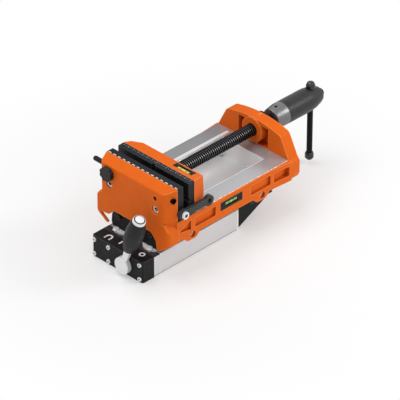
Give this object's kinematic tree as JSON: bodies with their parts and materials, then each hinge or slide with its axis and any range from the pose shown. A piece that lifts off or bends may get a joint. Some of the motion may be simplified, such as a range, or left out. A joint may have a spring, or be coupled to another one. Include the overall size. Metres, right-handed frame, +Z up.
{
  "type": "magnetic vise",
  "caption": "Screw vise with an orange body, black jaw plates and spirit levels on a switchable magnet base; a lever turns the magnet, and a handle with a cross bar drives the moving jaw.",
  "frame": {"origin": "middle of the magnet housing's underside", "axes": "+Z up, +Y along the spindle from the jaws towards the handle, +X to the right seen from the lever's end"},
  "size_m": [0.1833, 0.4608, 0.154],
  "materials": {
    "orange_paint": "semi-gloss powder coat",
    "black_paint": "satin",
    "blackened_steel": "blackened, satin",
    "ground_steel": "ground",
    "bright_steel": "polished",
    "grey_steel": "machined",
    "bronze": "machined",
    "black_plastic": "moulded",
    "grip_plastic": "moulded",
    "vial_green": "clear, filled with green liquid"
  },
  "bodies": {
    "frame": {"magnet_housing": "ground_steel", "pole_shoes": "grey_steel", "pole_spacer": "bronze", "front_cover": "black_paint", "cover_screws": "bright_steel", "tail_plate": "ground_steel", "tail_screws": "grey_steel", "rotor_bushes": "bronze", "adapter": "black_paint", "adapter_screws": "bright_steel", "base_clamps": "bright_steel", "clamp_screws": "bright_steel", "tail_bracket": "black_paint", "bracket_studs": "blackened_steel", "vise_frame": "orange_paint", "bed": "ground_steel", "frame_bolts": "bright_steel", "fixed_jaw_plate": "blackened_steel", "fixed_plate_bolts": "bright_steel", "spindle_nut": "blackened_steel", "nut_screws": "bright_steel", "rail_level_body": "black_plastic", "rail_level_vial": "vial_green", "stop_arm_bolt": "bright_steel"},
    "moving_jaw": {"moving_jaw": "orange_paint", "moving_jaw_plate": "blackened_steel", "moving_plate_bolts": "bright_steel", "jaw_keeper": "grey_steel", "keeper_screws": "grey_steel", "spindle_retainer": "blackened_steel", "retainer_screws": "blackened_steel", "jaw_level_body": "black_plastic", "jaw_level_vial": "vial_green"},
    "spindle": {"spindle": "blackened_steel", "grip_collar": "grey_steel", "collar_screw": "blackened_steel", "handle_grip": "grip_plastic", "handle_cap": "black_plastic"},
    "t_bar": {"t_bar": "blackened_steel", "t_bar_knob": "blackened_steel", "t_bar_ball": "blackened_steel"},
    "lever": {"lever_hub": "bright_steel", "lever_arm": "bright_steel", "lever_grip": "grip_plastic", "lever_cap": "bright_steel", "magnet_rotor": "grey_steel"},
    "stop_rod": {"stop_rod": "blackened_steel"},
    "stop_knob": {"stop_knob": "black_plastic"},
    "stop_arm": {"stop_arm": "blackened_steel"}
  },
  "joints": [
    {"name": "jaw_slide", "type": "slide", "parent": "frame", "child": "moving_jaw", "axis": [0, 1, 0], "range_m": [-0.0107, 0.1351]},
    {"name": "spindle_turn", "type": "hinge", "parent": "moving_jaw", "child": "spindle", "pos_m": [0, 0.1, 0.1205], "axis": [0, 1, 0], "range_deg": [-954, 12150]},
    {"name": "t_bar_slide", "type": "slide", "parent": "spindle", "child": "t_bar", "axis": [0, 0, 1], "range_m": [0, 0.08]},
    {"name": "lever_turn", "type": "hinge", "parent": "frame", "child": "lever", "pos_m": [0.0155, -0.117, 0.0185], "axis": [0, 1, 0], "range_deg": [-62, 19.5]},
    {"name": "stop_rod_slide", "type": "slide", "parent": "frame", "child": "stop_rod", "axis": [1, 0, 0], "range_m": [-0.014, 0.02]},
    {"name": "stop_knob_turn", "type": "hinge", "parent": "frame", "child": "stop_knob", "pos_m": [-0.049, -0.0835, 0.137], "axis": [0, 1, 0], "range_deg": [-360, 0]},
    {"name": "stop_arm_swing", "type": "hinge", "parent": "frame", "child": "stop_arm", "pos_m": [0.0797, -0.0545, 0.111], "axis": [1, 0, 0], "range_deg": [0, 95]}
  ],
  "couplings": [
    {"joint": "jaw_slide", "follows": "spindle_turn", "m_per_rad": 0.00063662}
  ]
}
